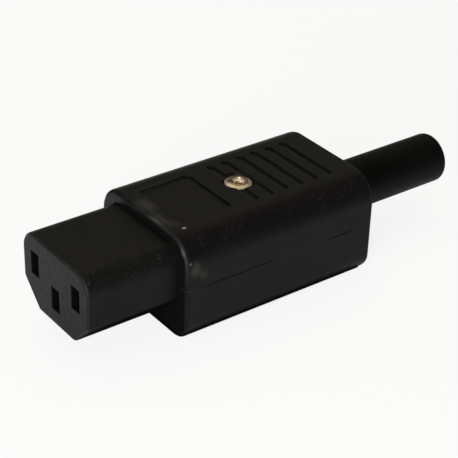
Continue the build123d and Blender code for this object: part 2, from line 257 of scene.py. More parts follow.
def makeTurnedTree():
    # turns the outline that comes in, drawn with X as radius and Z as height, round the Z axis
    tree, source, target = newShapeTree("turned shape", [
        ("Around", "Int", 64),
        ("Corner steps", "Int", 6),
        ("Material", "Material", None),
    ])
    outline = tree.nodes.new("GeometryNodeMeshToCurve")
    tree.links.new(source.outputs["Geometry"], outline.inputs["Mesh"])
    ease = tree.nodes.new("GeometryNodeInputNamedAttribute")
    ease.data_type = "FLOAT"
    ease.inputs["Name"].default_value = "ease"
    eased = rounded(tree, outline.outputs["Curve"], source.outputs["Corner steps"], ease.outputs["Attribute"])
    points = tree.nodes.new("GeometryNodeCurveToPoints")
    points.mode = "EVALUATED"
    tree.links.new(eased, points.inputs["Curve"])
    size = tree.nodes.new("GeometryNodeAttributeDomainSize")
    size.component = "POINTCLOUD"
    tree.links.new(points.outputs["Points"], size.inputs["Geometry"])
    count = size.outputs["Point Count"]
    grid = tree.nodes.new("GeometryNodeMeshGrid")
    tree.links.new(maths(tree, "ADD", source.outputs["Around"], 1), grid.inputs["Vertices X"])
    tree.links.new(count, grid.inputs["Vertices Y"])
    index = tree.nodes.new("GeometryNodeInputIndex").outputs["Index"]
    row = maths(tree, "MODULO", index, count)
    column = maths(tree, "FLOOR", maths(tree, "DIVIDE", index, count))
    turn = maths(tree, "DIVIDE", column, source.outputs["Around"])
    sample = tree.nodes.new("GeometryNodeSampleIndex")
    sample.data_type = "FLOAT_VECTOR"
    tree.links.new(points.outputs["Points"], sample.inputs["Geometry"])
    tree.links.new(position(tree), sample.inputs["Value"])
    tree.links.new(row, sample.inputs["Index"])
    drawn = axes(tree, sample.outputs["Value"])
    move = tree.nodes.new("GeometryNodeSetPosition")
    tree.links.new(grid.outputs["Mesh"], move.inputs["Geometry"])
    tree.links.new(roundTheAxis(tree, turn, drawn["X"], drawn["Z"]), move.inputs["Position"])
    closeAndPaint(tree, move.outputs["Geometry"], source, target)
    return tree


def makeThreadTree():
    # a shank that hangs from the origin, its thread a ridge that climbs one pitch a turn
    tree, source, target = newShapeTree("threaded shank", [
        ("Radius", "Float", 1.5 * mm),
        ("Depth", "Float", 0.28 * mm),
        ("Pitch", "Float", 0.5 * mm),
        ("Length", "Float", 8 * mm),
        ("Plain neck", "Float", 0.5 * mm),
        ("Point length", "Float", 1 * mm),
        ("Point share", "Float", 0.6),
        ("Around", "Int", 24),
        ("Rows", "Int", 120),
        ("Material", "Material", None),
    ])
    value = source.outputs
    grid = tree.nodes.new("GeometryNodeMeshGrid")
    grid.inputs["Size X"].default_value = 1
    grid.inputs["Size Y"].default_value = 1
    tree.links.new(maths(tree, "ADD", value["Around"], 1), grid.inputs["Vertices X"])
    tree.links.new(maths(tree, "ADD", value["Rows"], 1), grid.inputs["Vertices Y"])
    flat = axes(tree, position(tree))
    turn = maths(tree, "ADD", flat["X"], 0.5)
    share = maths(tree, "ADD", flat["Y"], 0.5)
    along = maths(tree, "MULTIPLY", share, value["Length"])
    phase = maths(tree, "FRACT", maths(tree, "ADD", maths(tree, "DIVIDE", along, value["Pitch"]), turn))
    slope = maths(tree, "ABSOLUTE", maths(tree, "SUBTRACT", maths(tree, "MULTIPLY", phase, 2), 1))
    # steeper than its pitch and clamped, so that the ridge has a narrow flat at its top and its foot
    ridge = maths(tree, "SUBTRACT", maths(tree, "MULTIPLY", slope, 1.25), 0.125, clamp=True)
    pastNeck = maths(tree, "SUBTRACT", along, value["Plain neck"])
    pastNeck = maths(tree, "DIVIDE", pastNeck, value["Pitch"], clamp=True)
    height = times(tree, ridge, pastNeck, value["Depth"])
    core = maths(tree, "SUBTRACT", value["Radius"], value["Depth"])
    body = maths(tree, "ADD", core, height)
    toEnd = maths(tree, "SUBTRACT", value["Length"], along)
    toEnd = maths(tree, "DIVIDE", toEnd, value["Point length"], clamp=True)
    narrowing = maths(tree, "SUBTRACT", 1, value["Point share"])
    taper = maths(tree, "ADD", value["Point share"], maths(tree, "MULTIPLY", toEnd, narrowing))
    # the first and the last row close on the axis
    inside = times(tree, maths(tree, "GREATER_THAN", share, 0.0001), maths(tree, "LESS_THAN", share, 0.9999))
    radius = times(tree, body, taper, inside)
    move = tree.nodes.new("GeometryNodeSetPosition")
    tree.links.new(grid.outputs["Mesh"], move.inputs["Geometry"])
    down = maths(tree, "MULTIPLY", along, -1)
    tree.links.new(roundTheAxis(tree, turn, radius, down), move.inputs["Position"])
    closeAndPaint(tree, move.outputs["Geometry"], source, target)
    return tree


def makeRimTree():
    # a cutter that rounds the rim of an opening, repeated at a pitch along X; the unit outline that
    # comes in is its section, swept round the opening at the scale of the easing
    tree, source, target = newShapeTree("rim cutter", [
        ("Length", "Float", 10 * mm),
        ("Width", "Float", 5 * mm),
        ("Corner", "Float", 1 * mm),
        ("Corner steps", "Int", 8),
        ("Front ease", "Float", 0.13 * mm),
        ("Rear ease", "Float", 0.13 * mm),
        ("Count", "Int", 1),
        ("Pitch", "Float", 1 * mm),
        ("Material", "Material", None),
    ])
    value = source.outputs
    opening = tree.nodes.new("GeometryNodeCurvePrimitiveQuadrilateral")
    tree.links.new(value["Length"], opening.inputs["Width"])
    tree.links.new(value["Width"], opening.inputs["Height"])
    # just short of half the opening, where the corners would meet
    largest = maths(tree, "MULTIPLY", maths(tree, "MINIMUM", value["Length"], value["Width"]), 0.499)
    radius = maths(tree, "MINIMUM", value["Corner"], largest)
    path = rounded(tree, opening.outputs["Curve"], value["Corner steps"], radius)
    section = tree.nodes.new("GeometryNodeMeshToCurve")
    tree.links.new(value["Geometry"], section.inputs["Mesh"])
    flat = axes(tree, position(tree))
    share = maths(tree, "ADD", maths(tree, "DIVIDE", flat["X"], value["Length"]), 0.5)
    change = maths(tree, "SUBTRACT", value["Rear ease"], value["Front ease"])
    ease = maths(tree, "ADD", value["Front ease"], maths(tree, "MULTIPLY", change, share))
    sweep = tree.nodes.new("GeometryNodeCurveToMesh")
    tree.links.new(path, sweep.inputs["Curve"])
    tree.links.new(section.outputs["Curve"], sweep.inputs["Profile Curve"])
    tree.links.new(ease, sweep.inputs["Scale"])
    step = tree.nodes.new("ShaderNodeCombineXYZ")
    tree.links.new(value["Pitch"], step.inputs["X"])
    line = tree.nodes.new("GeometryNodeMeshLine")
    tree.links.new(value["Count"], line.inputs["Count"])
    tree.links.new(step.outputs[0], line.inputs["Offset"])
    copies = tree.nodes.new("GeometryNodeInstanceOnPoints")
    tree.links.new(line.outputs["Mesh"], copies.inputs["Points"])
    tree.links.new(sweep.outputs["Mesh"], copies.inputs["Instance"])
    closeAndPaint(tree, copies.outputs["Instances"], source, target)
    return tree


def rimSection(steps=4, beyond=0.3, reach=1.02):
    # a unit corner: what lies outside a quarter round, with some room beyond the surface; the round
    # reaches a little past the wall and the top, so that it cuts them cleanly
    angles = [i * math.pi / 2 / steps for i in range(steps + 1)]
    arc = [(1 - reach * math.cos(a), 1 - reach * math.sin(a)) for a in angles]
    points = [(-beyond, -beyond), (1, -beyond), *reversed(arc), (-beyond, 1)]
    mesh = bpy.data.meshes.new("rimSection")
    mesh.from_pydata([(x, y, 0) for x, y in points],
                     [(i, (i + 1) % len(points)) for i in range(len(points))], [])
    return mesh


def growShape(name, tree, values, base=None):
    # runs a tree on a base mesh and gives back the closed, outward-facing result
    obj = newObject(name, base or bpy.data.meshes.new(name))
    build = obj.modifiers.new("build", "NODES")
    build.node_group = tree
    for item in tree.interface.items_tree:
        if item.item_type == "SOCKET" and item.in_out == "INPUT" and item.name in values:
            build[item.identifier] = values[item.name]
    obj = applied(obj)
    bm = bmesh.new()
    bm.from_mesh(obj.data)
    bmesh.ops.dissolve_degenerate(bm, dist=0.0002 * mm, edges=bm.edges)
    bmesh.ops.recalc_face_normals(bm, faces=bm.faces)
    bm.to_mesh(obj.data)
    bm.free()
    return obj


def outlineMesh(name, points):
    # points are (radius, height, ease) in metres, joined in order
    mesh = bpy.data.meshes.new(name)
    mesh.from_pydata([(radius, 0, height) for radius, height, ease in points],
                     [(i, i + 1) for i in range(len(points) - 1)], [])
    easing = mesh.attributes.new("ease", "FLOAT", "POINT")
    easing.data.foreach_set("value", [ease for radius, height, ease in points])
    return mesh


turnedTree = makeTurnedTree()
threadTree = makeThreadTree()
rimTree = makeRimTree()
print("node trees ready")


# Sizes of what is moulded in the half shells

shell = {
    "endRimEase": 0.15 * mm,
    "panelStart": 3.7 * mm,
    "panelLength": 11.4 * mm,
    "panelWidth": 14.4 * mm,
    "panelCorner": 1.2 * mm,
    "panelEase": 0.12 * mm,
    "recessRadius": 3.15 * mm,
    "recessEase": 0.16 * mm,
    "grooveStart": 20.35 * mm,
    "groovePitch": 3.53 * mm,
    "grooveCount": 6,
    "grooveWidth": 1.3 * mm,
    "grooveLength": 15.4 * mm,
    "grooveFrontEase": 0.50 * mm,
    "grooveRearEase": 0.14 * mm,
}


# Helpers for materials

def emptied(owner, output):
    # the owner's tree with only its output in it, and where a surface goes
    owner.use_nodes = True
    tree = owner.node_tree
    tree.nodes.clear()
    return tree, tree.nodes.new(output).inputs["Surface"]


def newMaterial(name):
    material = bpy.data.materials.new(name)
    tree, surface = emptied(material, "ShaderNodeOutputMaterial")
    shader = tree.nodes.new("ShaderNodeBsdfPrincipled")
    tree.links.new(shader.outputs[0], surface)
    return material, tree, shader


def mixColours(tree, share, first, second):
    node = tree.nodes.new("ShaderNodeMix")
    node.data_type = "RGBA"
    feed(tree, node.inputs[0], share)
    feed(tree, node.inputs[6], first)
    feed(tree, node.inputs[7], second)
    return node.outputs[2]


def remap(tree, value, low, high, toLow=0.0, toHigh=1.0, smooth=False):
    node = tree.nodes.new("ShaderNodeMapRange")
    node.interpolation_type = "SMOOTHSTEP" if smooth else "LINEAR"
    for socket, number in zip(node.inputs[1:5], (low, high, toLow, toHigh)):
        socket.default_value = number
    feed(tree, node.inputs[0], value)
    return node.outputs[0]


def inMillimetres(tree, stretch=(1, 1, 1), shift=(0, 0, 0)):
    # the piece's own coordinates in millimetres, stretched or shifted
    coords = tree.nodes.new("ShaderNodeTexCoord")
    mapping = tree.nodes.new("ShaderNodeMapping")
    mapping.inputs["Scale"].default_value = [s / mm for s in stretch]
    mapping.inputs["Location"].default_value = [-a * b for a, b in zip(shift, stretch)]
    tree.links.new(coords.outputs["Object"], mapping.inputs["Vector"])
    return mapping.outputs[0]


def noise(tree, vector, scale, detail, roughness):
    node = tree.nodes.new("ShaderNodeTexNoise")
    node.inputs["Scale"].default_value = scale
    node.inputs["Detail"].default_value = detail
    node.inputs["Roughness"].default_value = roughness
    feed(tree, node.inputs["Vector"], vector)
    return node.outputs["Fac"]


def bump(tree, height, distance, under=None):
    node = tree.nodes.new("ShaderNodeBump")
    node.inputs["Distance"].default_value = distance
    node.inputs["Strength"].default_value = 1
    feed(tree, node.inputs["Height"], height)
    if under is not None:
        tree.links.new(under, node.inputs["Normal"])
    return node.outputs[0]


def between(tree, value, low, high, soft):
    # 1 inside low..high, falling to 0 over soft on each side
    rising = remap(tree, value, low - soft, low + soft, smooth=True)
    falling = remap(tree, value, high - soft, high + soft, 1, 0, smooth=True)
    return times(tree, rising, falling)


def patch(tree, centre, reach):
    # 1 at centre, 0 at the edge of an ellipsoid, both given in millimetres
    vector = inMillimetres(tree, [1 / r for r in reach], centre)
    return remap(tree, lengthOf(tree, vector), 0.0, 1.0, 1, 0, smooth=True)


def normalAxes(tree):
    return axes(tree, tree.nodes.new("ShaderNodeTexCoord").outputs["Normal"])


def places(tree):
    return axes(tree, inMillimetres(tree))


def leaning(tree, part):
    # 1 where a face leans half-way towards an axis, 0 where it is square to it
    square = times(tree, part, part)
    return times(tree, square, maths(tree, "SUBTRACT", 1, square), 4, clamp=True)


# Moulded black plastic of the half shells and the nose

shellPlastic = {
    "colour": (0.0043, 0.0042, 0.0041),
    "cloudColour": (0.0064, 0.0062, 0.0060),
    # lighter as wear, and on the front rim as a painted highlight
    "wearAndHighlightColour": (0.070, 0.069, 0.066),
    "scuffColour": (0.078, 0.075, 0.068),
    # dust and painted light in the grooves, on the marking field's far wall and in the seam
    "dustAndPaintedLightColour": (0.058, 0.056, 0.051),
    "seamDustAndPaintedLight": 0.42,
    "specular": 0.12,
    "roughness": (0.36, 0.50),
    "grain": 0.006,
    "waves": 0.030,
    "speckle": 0.24,
    "mottle": ((0.0030, 0.0024, 0.0027), (0.0096, 0.0084, 0.0090)),
    "edgeWearAndHighlight": 0.42,
    # painted shade darkening the far half of the front rim: centre and reach in mm, strength, colour
    "paintedShades": [((19.0, 7.0, 8.1), (0.9, 9.0, 0.8), 1.3, (0.0012, 0.0012, 0.0012))],
    # centre and reach in mm, strength
    "scuffs": [
        ((20.9, 1.8, 8.2), (2.2, 4.0, 1.2), 1.0),
        ((20.3, -4.0, 8.0), (1.3, 4.6, 1.0), 0.9),
        ((21.4, -6.6, 8.2), (1.2, 2.2, 1.0), 0.5),
        ((20.9, -13.9, 2.4), (1.7, 1.4, 2.4), 0.85),
        ((22.6, -14.0, 0.9), (1.6, 1.4, 1.4), 0.6),
    ],
    # chips and painted highlights: on the shell, chips at the top front corner and low on the near front
    # corner, and painted highlights down the near front corner and along the front rim; centre and reach in
    # mm, strength
    "chipAndHighlightColour": (0.42, 0.41, 0.35),
    "chipAndHighlights": [((21.9, -8.8, 8.2), (0.62, 0.42, 0.5), 1.3), ((19.8, -14.0, 3.9), (0.4, 0.4, 0.4), 0.35),
              ((19.05, -12.9, 6.6), (0.40, 1.3, 2.0), 0.26), ((19.25, -3.6, 8.15), (0.5, 3.2, 0.5), 0.16)],
    # where the parting line keeps its shade, neither dusted nor painted lighter, along X in mm
    "openSeam": [(22.5, 38.5), (51.5, 58.6)],
}
nosePlastic = {
    "colour": (0.0058, 0.0057, 0.0056),
    "cloudColour": (0.0084, 0.0082, 0.0080),
    "wearAndHighlightColour": (0.050, 0.049, 0.047),
    "scuffColour": (0.060, 0.058, 0.054),
    # painted shade for the inside of the slots
    "dustAndPaintedLightColour": (0.0020, 0.0020, 0.0020),
    "specular": 0.11,
    "roughness": (0.38, 0.52),
    "grain": 0.005,
    "waves": 0.020,
    "speckle": 0.85,
    "mottle": ((0.0045, 0.0045, 0.0044), (0.0125, 0.0123, 0.0120)),
    "edgeWearAndHighlight": 0.30,
    "scuffs": [
        ((0.2, 0.5, -9.2), (0.8, 8.0, 0.9), 0.5),
    ],
    "chipAndHighlightColour": (0.3, 0.3, 0.28),
    "chipAndHighlights": [((6.2, -9.6, 4.3), (0.25, 0.25, 0.25), 0.6)],
    # the two fields of the mating face that hold the slots, in y and z
    "slotFields": [((-8.8, 8.8), (-2.8, 2.8)), ((-1.8, 1.8), (-6.8, -1.2))],
}
# scale in cells a millimetre, detail and roughness of each noise
plasticNoise = {
    "clouds": (0.16, 4, 0.6),
    "mottle": (2.0, 4, 0.7),
    "crowds": (0.30, 2, 0.5),
    "specks": (2.3, 3, 0.55),
    "streaks": (1.0, 6, 0.7),
    "rubbing": (0.35, 3, 0.5),
    "gloss": (0.8, 4, 0.6),
    "waves": (0.11, 2, 0.5),
    "grain": (4.5, 4, 0.6),
}
# where the shells' wear, dust and painted light begin and end, in mm from a face, a seam or the origin
shellMarks = {
    "behindFront": (0.9, 1.3),
    "onFront": (-0.1, 0.0),
    "atRear": (-1.1, 0.2),
    "dullCorner": (-1, 3),
    "dullFar": (-2, 5),
    "wearAndHighlightNear": (-6, 4),
    "wearAndHighlightHigh": (-1, 4),
    "rimsBelowTop": (-0.25, -0.1),
    "rimsAcross": (-8.3, 8.3),
    # dust and painted light in the grooves, lighter towards each groove's front
    "dustAndPaintedLightDepth": (-0.65, -0.25),
    "dustAndPaintedLightFloor": (-1.2, -1.0),
    "dustAndPaintedLightAlong": (-0.7, 20),
    "dustAndPaintedLightAcross": (-7.8, 7.8),
    "dustAndPaintedLightThins": 0.7,
    # dust and painted light on the far wall of the marking field, softening its shade
    "farWall": (6.9, 7.4),
    "farWallAlong": (3.4, 13.5),
    "farWallThins": (22, 32),
    # dust and painted light in the parting line, painting out its shade
    "seamAcross": (-0.16, 0.16),
    "seamStart": (0.1, 0.8),
}


def marks(name, origin=0.0):
    return [origin / mm + away for away in shellMarks[name]]


def nearFront(tree, place):
    # 1 in the front rim, 0 behind it
    return remap(tree, place["X"], *marks("behindFront", shellFront), 1, 0)


def dulled(tree):
    # rough at the shell's front corner low down, the far half of its front rim and its rear rim
    lean = leaning(tree, normalAxes(tree)["X"])
    place = places(tree)
    front = times(tree, nearFront(tree, place), remap(tree, place["X"], *marks("onFront", shellFront)))
    corner = times(tree, lean, remap(tree, place["Z"], *marks("dullCorner"), 0.85, 0))
    farHalf = times(tree, lean, remap(tree, place["Y"], *marks("dullFar")))
    rear = times(tree, lean, between(tree, place["X"], *marks("atRear", shellRear), 0.1))
    return mostOf(tree, times(tree, front, mostOf(tree, corner, farHalf)), rear)


def makeMouldedPlastic(name, look, rims, paintedHollows):
    material, tree, shader = newMaterial(name)
    vector = inMillimetres(tree)

    def pattern(kind):
        return noise(tree, vector, *plasticNoise[kind])

    colour = mixColours(tree, remap(tree, pattern("clouds"), 0.35, 0.7), look["colour"], look["cloudColour"])
    # painted shade: darker patches where a rim lies in shade
    for centre, reach, strength, shadeColour in look.get("paintedShades", ()):
        paintedShade = times(tree, patch(tree, centre, reach), strength, clamp=True)
        colour = mixColours(tree, paintedShade, colour, shadeColour)
    # the rounded shoulders are mottled, and crowds of specks lie on them
    up = normalAxes(tree)["Z"]
    shoulder = times(tree, leaning(tree, up), remap(tree, up, 0.05, 0.2))
    mottled = mixColours(tree, remap(tree, pattern("mottle"), 0.38, 0.64), *look["mottle"])
    colour = mixColours(tree, shoulder, colour, mottled)
    specks = remap(tree, pattern("specks"), 0.55, 0.70)
    crowds = remap(tree, pattern("crowds"), 0.42, 0.60)
    amount = remap(tree, shoulder, 0, 1, 0.12 * look["speckle"], look["speckle"])
    colour = mixColours(tree, times(tree, specks, crowds, amount), colour, look["scuffColour"])
    # scuffs, broken up by streaks
    streaks = noise(tree, inMillimetres(tree, (1.1, 2.8, 2.8)), *plasticNoise["streaks"])
    scuffs = sumOf(tree, [times(tree, patch(tree, centre, reach), strength)
                          for centre, reach, strength in look["scuffs"]])
    scuffs = times(tree, scuffs, remap(tree, streaks, 0.34, 0.66, 0.2, 1.0), clamp=True)
    colour = mixColours(tree, scuffs, colour, look["scuffColour"])
    # lighter spots: chips, and painted highlights
    for centre, reach, strength in look["chipAndHighlights"]:
        chipAndHighlight = times(tree, patch(tree, centre, reach), strength, clamp=True)
        colour = mixColours(tree, chipAndHighlight, colour, look["chipAndHighlightColour"])
    # rims lighter as wear, and on the shell's front rim as a painted highlight
    rubbed = remap(tree, pattern("rubbing"), 0.36, 0.66, 0.40, 1.0)
    wearAndHighlight = times(tree, rims(tree), rubbed, look["edgeWearAndHighlight"], clamp=True)
    colour = mixColours(tree, wearAndHighlight, colour, look["wearAndHighlightColour"])
    # dust and painted light in the shell's hollows, painted shade in the nose's slots
    paintedHollow = paintedHollows(tree, look)
    colour = mixColours(tree, paintedHollow, colour, look["dustAndPaintedLightColour"])
    tree.links.new(colour, shader.inputs["Base Color"])
    rough = remap(tree, pattern("gloss"), 0.3, 0.7, *look["roughness"])
    tree.links.new(mostOf(tree, rough, mostOf(tree, paintedHollow, dulled(tree))), shader.inputs["Roughness"])
    shader.inputs["Specular IOR Level"].default_value = look["specular"]
    waves = bump(tree, pattern("waves"), look["waves"] * mm)
    tree.links.new(bump(tree, pattern("grain"), look["grain"] * mm, waves), shader.inputs["Normal"])
    return material


def shellRims(tree):
    # the round edges at the shell's front end, lighter as wear and as a painted highlight where the front rim
    # catches the light, faded on its far half and low down, and the rims of what is moulded in its top
    normal = normalAxes(tree)
    place = places(tree)
    nearSide = remap(tree, place["Y"], *marks("wearAndHighlightNear"), 1.0, 0.0)
    upper = remap(tree, place["Z"], *marks("wearAndHighlightHigh"), 0.12, 1.0)
    lean = leaning(tree, normal["X"])
    ends = times(tree, lean, lean, times(tree, nearFront(tree, place), upper, nearSide))
    high = remap(tree, place["Z"], *marks("rimsBelowTop", shellTop))
    middle = between(tree, place["Y"], *marks("rimsAcross"), 0.1)
    return mostOf(tree, ends, times(tree, leaning(tree, normal["Z"]), high, middle, 0.35))


def shellDustAndPaintedLight(tree, look):
    # dust and painted light on the floors, rear walls and far ends of the grooves, thinning to the rear of
    # each groove where the lighter front stands in for a sloping front's shading; on the far wall of the
    # marking field, softening its shade; and in most of the seam, painting out its shade
    normal = normalAxes(tree)
    place = places(tree)
    first = shellFront + shell["grooveStart"] - shell["grooveWidth"] / 2
    pitch = shell["groovePitch"] / mm
    turn = maths(tree, "DIVIDE", maths(tree, "SUBTRACT", place["X"], first / mm), pitch)
    across = times(tree, maths(tree, "FRACT", turn), pitch)
    thin = remap(tree, across, shellMarks["dustAndPaintedLightThins"], shell["grooveWidth"] / mm, 1.0, 0.6)
    low = remap(tree, place["Z"], *marks("dustAndPaintedLightDepth", shellTop), 1, 0)
    within = times(tree, between(tree, place["X"], *marks("dustAndPaintedLightAlong", first), 0.05),
                   between(tree, place["Y"], *marks("dustAndPaintedLightAcross"), 0.05),
                   remap(tree, place["Z"], *marks("dustAndPaintedLightFloor", shellTop)))
    facing = mostOf(tree, remap(tree, normal["Z"], 0.6, 0.9), remap(tree, normal["X"], -0.9, -0.6, 0.8, 0),
                    remap(tree, normal["Y"], -0.9, -0.4, 0.9, 0))
    floors = times(tree, thin, low, within, facing)
    farWall = times(tree, between(tree, place["Y"], *marks("farWall"), 0.05),
                    between(tree, place["X"], *marks("farWallAlong", shellFront), 1.5),
                    remap(tree, place["X"], *marks("farWallThins"), 0.45, 0.12))
    bare = sumOf(tree, [between(tree, place["X"], start, end, 1.6) for start, end in look["openSeam"]])
    seam = times(tree, between(tree, place["Z"], *marks("seamAcross", parting), 0.03),
                 remap(tree, place["X"], *marks("seamStart", shellFront), 0.05, 1),
                 maths(tree, "SUBTRACT", 1, bare, clamp=True), look["seamDustAndPaintedLight"])
    return mostOf(tree, floors, farWall, seam)


def noseRims(tree):
    front = remap(tree, places(tree)["X"], 0.7, 0.9, 1, 0)
    return times(tree, leaning(tree, normalAxes(tree)["X"]), front)


def noseSlotPaintedShade(tree, look):
    # painted shade: the inside of the three slots is painted near black and made rough
    place = places(tree)
    slots = []
    for (left, right), (low, high) in look["slotFields"]:
        slots.append(times(tree, between(tree, place["Y"], left, right, 0.1),
                           between(tree, place["Z"], low, high, 0.1)))
    return times(tree, mostOf(tree, *slots), remap(tree, place["X"], 0.16, 0.3))


# Inner mouldings, rubber, nickel and brass

innerPlastic = {"colour": (0.020, 0.020, 0.020), "cloudColour": (0.030, 0.030, 0.029),
                "roughness": (0.35, 0.5), "grain": 0.006, "specular": 0.4}
bootRubber = {"colour": (0.0026, 0.0025, 0.0024), "cloudColour": (0.0042, 0.0041, 0.0039),
              "roughness": (0.42, 0.58), "grain": 0.008, "specular": 0.08}
screwNickel = {"colour": (0.95, 0.80, 0.57), "dullColour": (0.62, 0.48, 0.31),
               "roughness": (0.22, 0.42), "turning": 0.0035, "dirt": (0.06, 0.035, 0.018)}
coverNickel = {
    **screwNickel,
    "lacquer": 0.6,
    "darkerFrom": 7.3, "darkerTo": 6.7,
    "ringDirtAndShade": (0.085, 0.066, 0.018), "ring": (1.46, 1.88), "markDirtAndShadeColour": (0.15, 0.060, 0.03),
    "rimTint": (0.58, 0.51, 0.40), "discTint": (0.95, 0.79, 0.65),
    # dirt and painted shade on the drive's walls: centre beside the axis and reach in mm, strength
    "marks": [((-1.2, 0.85), (1.1, 1.2), 2.0), ((-0.75, -0.30), (0.7, 0.8), 1.2),
              ((0.6, -1.6), (1.2, 0.6), 1.0)],
}
contactBrass = {"colour": (0.72, 0.50, 0.22), "dullColour": (0.42, 0.26, 0.10),
                "roughness": (0.25, 0.45), "turning": 0.0025, "dirt": (0.10, 0.06, 0.02)}
# scale in cells a millimetre, detail and roughness of each noise
softNoise = {"clouds": (0.22, 4, 0.6), "gloss": (1.1, 4, 0.6), "grain": (3.8, 4, 0.6)}
metalNoise = {"tarnish": (0.9, 5, 0.65), "grime": (2.4, 4, 0.6), "patches": (1.6, 3, 0.6),
              "gloss": (2.0, 4, 0.6), "turning": (3.0, 3, 0.5)}


def makeSoftBlack(name, look):
    material, tree, shader = newMaterial(name)
    vector = inMillimetres(tree)
    clouds = remap(tree, noise(tree, vector, *softNoise["clouds"]), 0.35, 0.7)
    colour = mixColours(tree, clouds, look["colour"], look["cloudColour"])
    tree.links.new(colour, shader.inputs["Base Color"])
    rough = remap(tree, noise(tree, vector, *softNoise["gloss"]), 0.3, 0.7, *look["roughness"])
    tree.links.new(rough, shader.inputs["Roughness"])
    shader.inputs["Specular IOR Level"].default_value = look["specular"]
    grain = bump(tree, noise(tree, vector, *softNoise["grain"]), look["grain"] * mm)
    tree.links.new(grain, shader.inputs["Normal"])
    return material


def headTintsDirtAndShade(tree, vector, colour, look):
    # a dull rim, a rosy disc inside a ring of dirt and painted shade, and brown marks of dirt and painted
    # shade
    inner, outer = look["ring"]
    radius = lengthOf(tree, inMillimetres(tree, (1, 1, 0), (screwPlace.x / mm, screwPlace.y / mm, 0)))
    rim = remap(tree, radius, outer, outer + 0.3)
    colour = mixColours(tree, times(tree, rim, 0.8), colour, look["rimTint"])
    disc = remap(tree, radius, inner - 0.1, inner, 0.6, 0)
    colour = mixColours(tree, disc, colour, look["discTint"])
    patchy = remap(tree, noise(tree, vector, *metalNoise["patches"]), 0.35, 0.6, 0.65, 1.0)
    # a ring of dirt and painted shade round the drive's rim
    ring = times(tree, between(tree, radius, inner, outer, 0.08), patchy)
    colour = mixColours(tree, ring, colour, look["ringDirtAndShade"])
    # brown marks of dirt and painted shade on the drive's walls
    for (x, y), (wide, long), strength in look["marks"]:
        spot = patch(tree, (screwPlace.x / mm + x, screwPlace.y / mm + y, shellTop / mm), (wide, long, 3))
        colour = mixColours(tree, times(tree, spot, patchy, strength, clamp=True), colour, look["markDirtAndShadeColour"])
    return colour


def makeMetal(name, look):
    material, tree, shader = newMaterial(name)
    vector = inMillimetres(tree)
    tarnish = remap(tree, noise(tree, vector, *metalNoise["tarnish"]), 0.36, 0.66)
    colour = mixColours(tree, tarnish, look["colour"], look["dullColour"])
    grime = remap(tree, noise(tree, vector, *metalNoise["grime"]), 0.60, 0.74, 0, 0.7)
    # the cover screw's drive is darker down towards its bottom
    if "darkerFrom" in look:
        deep = remap(tree, places(tree)["Z"], look["darkerTo"], look["darkerFrom"], 0.92, 0)
        grime = mostOf(tree, times(tree, grime, 0.6), deep)
    colour = mixColours(tree, grime, colour, look["dirt"])
    if "marks" in look:
        colour = headTintsDirtAndShade(tree, vector, colour, look)
    tree.links.new(colour, shader.inputs["Base Color"])
    rough = remap(tree, noise(tree, vector, *metalNoise["gloss"]), 0.3, 0.7, *look["roughness"])
    tree.links.new(rough, shader.inputs["Roughness"])
    shader.inputs["Metallic"].default_value = 1.0
    shader.inputs["Coat Weight"].default_value = look.get("lacquer", 0.0)
    shader.inputs["Coat Roughness"].default_value = 0.12
    fine = noise(tree, inMillimetres(tree, (1, 1, 9)), *metalNoise["turning"])
    tree.links.new(bump(tree, fine, look["turning"] * mm), shader.inputs["Normal"])
    return material


materials = {
    "shell": makeMouldedPlastic("shell plastic", shellPlastic, shellRims, shellDustAndPaintedLight),
    "nose": makeMouldedPlastic("nose plastic", nosePlastic, noseRims, noseSlotPaintedShade),
    "inner": makeSoftBlack("inner plastic", innerPlastic),
    "boot": makeSoftBlack("boot rubber", bootRubber),
    "nickel": makeMetal("screw nickel", screwNickel),
    "cover": makeMetal("cover screw nickel", coverNickel),
    "brass": makeMetal("contact brass", contactBrass),
}
print("materials ready")


# The two half shells: the frame's shape with its rims eased

def onEndFace(place):
    return min(abs(place.x - shellFront), abs(place.x - shellRear)) < onSurface


def easeRim(obj, x, values):
    # rounds the rim of one opening in the top, or of a row of them
    cutter = growShape("rimCutter", rimTree, values, rimSection())
    cutter.data.transform(Matrix.Translation((x, 0, shellTop)))
    return combine(obj, cutter, "DIFFERENCE")


def makeHalfShell(node, name, top):
    bm = tidyMesh(node)
    easeEdges(bm, onEndFace, shell["endRimEase"])
    obj = newObject(name, meshFrom(bm, name))
    if top:
        obj = easeRim(obj, shellFront + shell["grooveStart"], {
            "Length": shell["grooveWidth"], "Width": shell["grooveLength"],
            "Corner": shell["grooveWidth"] / 2, "Corner steps": 10,
            "Front ease": shell["grooveFrontEase"], "Rear ease": shell["grooveRearEase"],
            "Count": shell["grooveCount"], "Pitch": shell["groovePitch"],
        })
        obj = easeRim(obj, screwPlace.x, {
            "Length": 2 * shell["recessRadius"], "Width": 2 * shell["recessRadius"],
            "Corner": shell["recessRadius"], "Corner steps": 20,
            "Front ease": shell["recessEase"], "Rear ease": shell["recessEase"],
        })
        obj = easeRim(obj, shellFront + shell["panelStart"] + shell["panelLength"] / 2, {
            "Length": shell["panelLength"], "Width": shell["panelWidth"], "Corner": shell["panelCorner"],
            "Front ease": shell["panelEase"], "Rear ease": shell["panelEase"],
        })
    finishPiece(obj, materials["shell"], node)


makeHalfShell("upper_shell", "upper_half_shell", True)
makeHalfShell("lower_shell", "lower_half_shell", False)
print("half shells done")


# The nose with its three slots

nose = {"slotEase": 0.12 * mm}


def makeNose():
    bm = tidyMesh("contact_carrier")
    easeEdges(bm, lambda place: abs(place.x - matingFace) < onSurface, nose["slotEase"])
    obj = newObject("nose_and_carrier", meshFrom(bm, "nose_and_carrier"))
    finishPiece(obj, materials["nose"], "contact_carrier")


makeNose()
print("nose done")


# The boot, turned from its outline and laid on the cord's line

